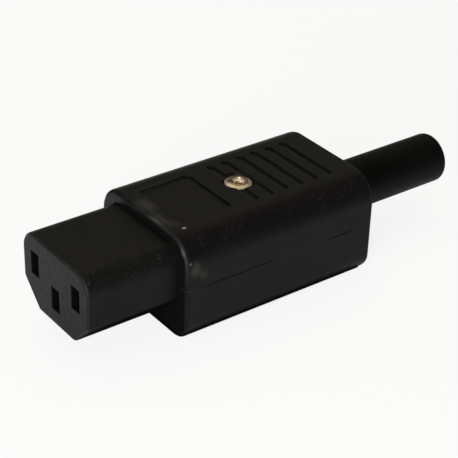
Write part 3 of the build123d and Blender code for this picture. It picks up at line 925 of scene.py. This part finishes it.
boot = {
    "bore": 3.6 * mm,
    "stubLength": 2.4 * mm,
    "stubWall": 0.9 * mm,
    "flangeLength": 2.2 * mm,
    "mouthEase": 0.4 * mm,
    "endEase": 1.0 * mm,
    "sleeveRadius": 5.2 * mm,
    "flangeEase": 0.25 * mm,
}


def makeBoot():
    bore = boot["bore"]
    stub = boot["stubLength"]
    flange = stub + boot["flangeLength"]
    length = bootHigh.x - bootLow.x
    sleeve = boot["sleeveRadius"]
    flangeRadius = (bootHigh.y - bootLow.y) / 2
    stubRadius = bore + boot["stubWall"]
    points = [
        (bore, 0, 0),
        (stubRadius, 0, 0.1 * mm),
        (stubRadius, stub, 0.1 * mm),
        (flangeRadius, stub, boot["flangeEase"]),
        (flangeRadius, flange, boot["flangeEase"]),
        (sleeve, flange, 0.1 * mm),
        (sleeve, length, boot["endEase"]),
        (bore + boot["mouthEase"], length, 0.15 * mm),
        (bore, length - boot["mouthEase"], 0.15 * mm),
        (bore, 0, 0),
    ]
    obj = growShape("rubber_boot", turnedTree, {"Around": 96, "Corner steps": 8},
                    outlineMesh("bootOutline", points))
    lay = Matrix.Translation((bootLow.x, 0, cordHeight)) @ Matrix.Rotation(math.radians(90), 4, "Y")
    obj.data.transform(lay)
    finishPiece(obj, materials["boot"], "boot")


makeBoot()
print("boot done")


# Screws: a turned head, its drive cut in, and a threaded shank

coverScrew = {
    "length": 12.0 * mm,
    "headHeight": 2.4 * mm,
    "domeRise": 0.45 * mm,
    "shankRadius": 1.5 * mm,
    "threadPitch": 0.5 * mm,
    "threadDepth": 0.25 * mm,
    "crossTurn": 16,
    "crossLength": 2.6 * mm,
    "crossWidth": 0.66 * mm,
    "crossDepth": 1.3 * mm,
    "crossTaper": 0.5,
    "bowlRadius": 1.50 * mm,
    "bowlDepth": 0.55 * mm,
    # shares of the bowl's radius and depth, from its middle to its rim
    "bowlProfile": [(0, 1), (0.55, 0.95), (0.78, 0.78), (0.91, 0.5), (1, 0)],
    "headSteps": 9,
    "rimEase": 0.28 * mm,
    "pointLength": 1.0 * mm,
    "pointShare": 0.7,
}
slotScrew = {
    "headHeight": 1.9 * mm,
    "rimEase": 0.30 * mm,
    "slotWidth": 0.7 * mm,
    "slotDepth": 0.9 * mm,
    # radius, thread pitch and depth, length, length of the point and its share of the radius
    "terminal": (1.5 * mm, 0.5 * mm, 0.25 * mm, 5.0 * mm, 0.6 * mm, 0.75),
    "clamp": (1.4 * mm, 1.0 * mm, 0.36 * mm, 8.5 * mm, 2.2 * mm, 0.35),
}
thread = {
    "around": 28,
    "rowsPerTurn": 8,
    "intoHead": 0.2 * mm,
}
# how far a cutter stands above what it cuts
cutterRoom = 1 * mm


def wedge(name, length, width, depth, taper, top):
    # a slot or one wing of a cross drive, narrowing as it goes down
    bm = bmesh.new()
    corners = []
    for height, share in ((top + cutterRoom, 1.0), (top, 1.0), (top - depth, taper)):
        for x, y in ((-1, -1), (1, -1), (1, 1), (-1, 1)):
            corners.append(bm.verts.new((x * length / 2 * share, y * width / 2 * share, height)))
    bmesh.ops.convex_hull(bm, input=corners)
    bmesh.ops.recalc_face_normals(bm, faces=bm.faces)
    return newObject(name, meshFrom(bm, name))


def addShank(head, radius, pitch, depth, length, pointLength, pointShare):
    length = length + thread["intoHead"]
    shank = growShape("shank", threadTree, {
        "Radius": radius, "Depth": depth, "Pitch": pitch, "Length": length, "Plain neck": pitch,
        "Point length": pointLength, "Point share": pointShare,
        "Around": thread["around"], "Rows": int(length / pitch * thread["rowsPerTurn"]),
    })
    shank.data.transform(Matrix.Translation((0, 0, thread["intoHead"])))
    return combine(head, shank, "UNION")


def placeScrew(obj, name, node, seat, material):
    low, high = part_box(node)
    obj.data.transform(Matrix.Translation(((low.x + high.x) / 2, (low.y + high.y) / 2, seat)))
    obj.name = name
    finishPiece(obj, material, node)


def makeCoverScrew():
    low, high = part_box("cover_screw")
    headRadius = (high.x - low.x) / 2
    length = coverScrew["length"]
    top = coverScrew["headHeight"]
    rise = coverScrew["domeRise"]
    domeRadius = (headRadius**2 + rise**2) / (2 * rise)
    points = [(0, 0, 0), (headRadius, 0, 0.1 * mm), (headRadius, top - rise, coverScrew["rimEase"])]
    steps = coverScrew["headSteps"]
    for step in range(1, steps + 1):
        radius = headRadius * (1 - step / steps)
        points.append((radius, top - domeRadius + math.sqrt(domeRadius**2 - radius**2), 0))
    head = growShape("coverHead", turnedTree, {"Around": 96, "Corner steps": 5},
                     outlineMesh("headOutline", points))
    bowlRadius = coverScrew["bowlRadius"]
    outline = [(r * bowlRadius, top - d * coverScrew["bowlDepth"], 0) for r, d in coverScrew["bowlProfile"]]
    outline += [(bowlRadius, top + cutterRoom, 0), (0, top + cutterRoom, 0)]
    bowl = growShape("bowl", turnedTree, {"Around": 96}, outlineMesh("bowlOutline", outline))
    head = combine(head, bowl, "DIFFERENCE")
    for turn in (0, 90):
        wing = wedge("wing", coverScrew["crossLength"], coverScrew["crossWidth"], coverScrew["crossDepth"],
                     coverScrew["crossTaper"], top)
        wing.data.transform(Matrix.Rotation(math.radians(turn + coverScrew["crossTurn"]), 4, "Z"))
        head = combine(head, wing, "DIFFERENCE")
    head = addShank(head, coverScrew["shankRadius"], coverScrew["threadPitch"], coverScrew["threadDepth"],
                    length, coverScrew["pointLength"], coverScrew["pointShare"])
    placeScrew(head, "cover_screw_turned", "cover_screw", low.z + length, materials["cover"])


def makeSlottedScrew(node, name, kind):
    low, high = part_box(node)
    radius = (high.x - low.x) / 2
    height = slotScrew["headHeight"]
    outline = [(0, 0, 0), (radius, 0, 0.08 * mm), (radius, height, slotScrew["rimEase"]), (0, height, 0)]
    head = growShape("slottedHead", turnedTree, {"Around": 64, "Corner steps": 5},
                     outlineMesh("slottedOutline", outline))
    slot = wedge("slot", 2 * radius + cutterRoom, slotScrew["slotWidth"], slotScrew["slotDepth"], 1.0, height)
    head = combine(head, slot, "DIFFERENCE")
    shankRadius, pitch, depth, length, pointLength, pointShare = slotScrew[kind]
    head = addShank(head, shankRadius, pitch, depth, length, pointLength, pointShare)
    placeScrew(head, name, node, low.z + length, materials["nickel"])


makeCoverScrew()
for pole in ("line", "neutral", "earth"):
    makeSlottedScrew(pole + "_terminal_screw", pole + "_slotted_screw", "terminal")
for side in ("left", "right"):
    makeSlottedScrew("clamp_screw_" + side, "clamp_slotted_screw_" + side, "clamp")
print("screws done")


# Pieces inside: the frame's shapes with their edges eased

def makeEased(node, name, material, width=0.08 * mm):
    obj = newObject(name, meshFrom(tidyMesh(node), name))
    bevel = obj.modifiers.new("ease", "BEVEL")
    bevel.width = width
    bevel.segments = 3
    bevel.limit_method = "ANGLE"
    bevel.angle_limit = math.radians(50)
    finishPiece(applied(obj), material, node)


makeEased("contact_retainer", "retaining_comb", materials["inner"])
makeEased("cord_clamp", "cord_clamp_bar", materials["inner"])
makeEased("screw_insert", "cover_screw_insert", materials["brass"])
for pole in ("line", "neutral", "earth"):
    makeEased(pole + "_contact", pole + "_contact_strip", materials["brass"], 0.05 * mm)
    makeEased(pole + "_clamp_plate", pole + "_clamp_washer", materials["nickel"])
print("inner pieces done")


# Camera, floor and light

view = {
    "place": (-0.1080, -0.1921, 0.1433),
    "heading": -37.38,
    "pitch": -31.02,
    "roll": 1.81,
    "lens": 114.99,
    "sensor": 36,
}
floor = {
    "size": 18.0,
    "colour": (0.62, 0.62, 0.61),
    "seenDiffuse": 0.20,
    "seenGlow": 0.86,
    # painted shade on the floor: how far round the object its closeness shows in a gloss, and as the thin
    # dark line of contact, a painted contact shadow
    "nearReach": 20 * mm,
    "nearShare": (0.80, 0.15),
    "under": (0.42, 0.50),
    "contactReach": 0.5 * mm,
    "contactSeen": (0.20, 0.34),
    "contactInGloss": (0.10, 0.42),
    # along X in mm: where the painted shade of nearness fades, and where the gloss dims towards the cord's
    # end, a painted darkening of the floor's glow
    "nearAlong": (matingFace / mm + 13, shellFront / mm + 2),
    "awayAlong": (25, 75),
    "awayShare": 0.18,
    # between the floor and the underside, so that the two never share a plane
    "clearance": 0.01 * mm,
}
lights = {
    "worldColour": (1.0, 0.96, 0.86),
    "worldStrength": 0.22,
    # name: place, aimed at, size in x and y, power, colour
    "lamps": {
        "ceiling": ((0.205, 0.36, 0.70), (0.045, 0, 0), (0.70, 0.70), 1.02, (1.0, 0.92, 0.68)),
        "window": ((-0.242, -0.189, 0.595), (0.045, 0, 0), (0.09, 0.09), 0.22, (1.0, 1.0, 0.97)),
        "left": ((-0.40, -0.28, 0.11), (0.045, 0, 0), (0.30, 0.24), 2.1, (1.0, 1.0, 1.0)),
    },
}


def makeCamera():
    data = bpy.data.cameras.new("camera")
    data.lens = view["lens"]
    data.sensor_width = view["sensor"]
    data.clip_start = 0.01
    data.clip_end = 20
    camera = newObject("camera", data)
    turn = (Matrix.Rotation(math.radians(view["heading"]), 4, "Z")
            @ Matrix.Rotation(math.radians(90 + view["pitch"]), 4, "X")
            @ Matrix.Rotation(math.radians(view["roll"]), 4, "Z"))
    camera.matrix_world = Matrix.Translation(view["place"]) @ turn
    bpy.context.scene.camera = camera


def seenDirectly(tree):
    # 1 for what the camera sees, also in a gloss or through glass
    path = tree.nodes.new("ShaderNodeLightPath")
    gloss = maths(tree, "ADD", path.outputs["Is Glossy Ray"], path.outputs["Is Transmission Ray"], clamp=True)
    return maths(tree, "ADD", path.outputs["Is Camera Ray"], gloss, clamp=True)


def closeness(tree, reach):
    # 0 on the open floor, towards 1 right under something
    shade = tree.nodes.new("ShaderNodeAmbientOcclusion")
    shade.inputs["Distance"].default_value = reach
    return maths(tree, "SUBTRACT", 1, shade.outputs["AO"])


def makeFloor():
    half = floor["size"] / 2
    mesh = bpy.data.meshes.new("floor")
    level = shellBottom - floor["clearance"]
    corners = [(x * half, y * half, level) for x, y in ((-1, -1), (1, -1), (1, 1), (-1, 1))]
    mesh.from_pydata(corners, [], [(0, 1, 2, 3)])
    obj = newObject("floor", mesh)
    material = bpy.data.materials.new("pale floor")
    tree, surface = emptied(material, "ShaderNodeOutputMaterial")
    seen = seenDirectly(tree)
    plain = tree.nodes.new("ShaderNodeBsdfDiffuse")
    plain.inputs["Color"].default_value = (*floor["colour"], 1)
    soft = tree.nodes.new("ShaderNodeBsdfDiffuse")
    glow = tree.nodes.new("ShaderNodeEmission")
    light = tree.nodes.new("ShaderNodeLightPath")
    place = places(tree)
    # painted shade: ambient occlusion darkens the floor's glow near and under the object in glosses, and as a
    # thin contact shadow seen directly
    share = remap(tree, place["X"], *floor["nearAlong"], *floor["nearShare"])
    close = closeness(tree, floor["nearReach"])
    near = mostOf(tree, times(tree, close, share), remap(tree, close, *floor["under"]))
    contact = closeness(tree, floor["contactReach"])
    away = remap(tree, place["X"], *floor["awayAlong"], 0, floor["awayShare"])
    inGloss = mostOf(tree, maths(tree, "ADD", near, away), remap(tree, contact, *floor["contactInGloss"]))
    inGloss = times(tree, inGloss, light.outputs["Is Glossy Ray"])
    direct = times(tree, remap(tree, contact, *floor["contactSeen"]), light.outputs["Is Camera Ray"])
    clear = maths(tree, "SUBTRACT", 1, mostOf(tree, inGloss, direct), clamp=True)
    tree.links.new(times(tree, clear, floor["seenGlow"]), glow.inputs["Strength"])
    tree.links.new(times(tree, clear, floor["seenDiffuse"]), soft.inputs["Color"])
    bright = tree.nodes.new("ShaderNodeAddShader")
    tree.links.new(soft.outputs[0], bright.inputs[0])
    tree.links.new(glow.outputs[0], bright.inputs[1])
    pick = tree.nodes.new("ShaderNodeMixShader")
    tree.links.new(seen, pick.inputs[0])
    tree.links.new(plain.outputs[0], pick.inputs[1])
    tree.links.new(bright.outputs[0], pick.inputs[2])
    tree.links.new(pick.outputs[0], surface)
    mesh.materials.append(material)


def makeWorld():
    world = bpy.data.worlds.new("studio")
    bpy.context.scene.world = world
    tree, surface = emptied(world, "ShaderNodeOutputWorld")
    dim = tree.nodes.new("ShaderNodeBackground")
    dim.inputs["Color"].default_value = (*lights["worldColour"], 1)
    dim.inputs["Strength"].default_value = lights["worldStrength"]
    tree.links.new(dim.outputs[0], surface)


def makeLamps():
    for name, (place, target, size, power, colour) in lights["lamps"].items():
        data = bpy.data.lights.new(name, "AREA")
        data.shape = "RECTANGLE"
        data.size, data.size_y = size
        data.energy = power
        data.color = colour
        lamp = newObject(name, data)
        aim = Vector(target) - Vector(place)
        lamp.matrix_world = Matrix.Translation(place) @ aim.to_track_quat("-Z", "Y").to_matrix().to_4x4()


makeCamera()
makeFloor()
makeWorld()
makeLamps()
bpy.context.scene.view_settings.view_transform = "Standard"
print("camera, floor and light ready")
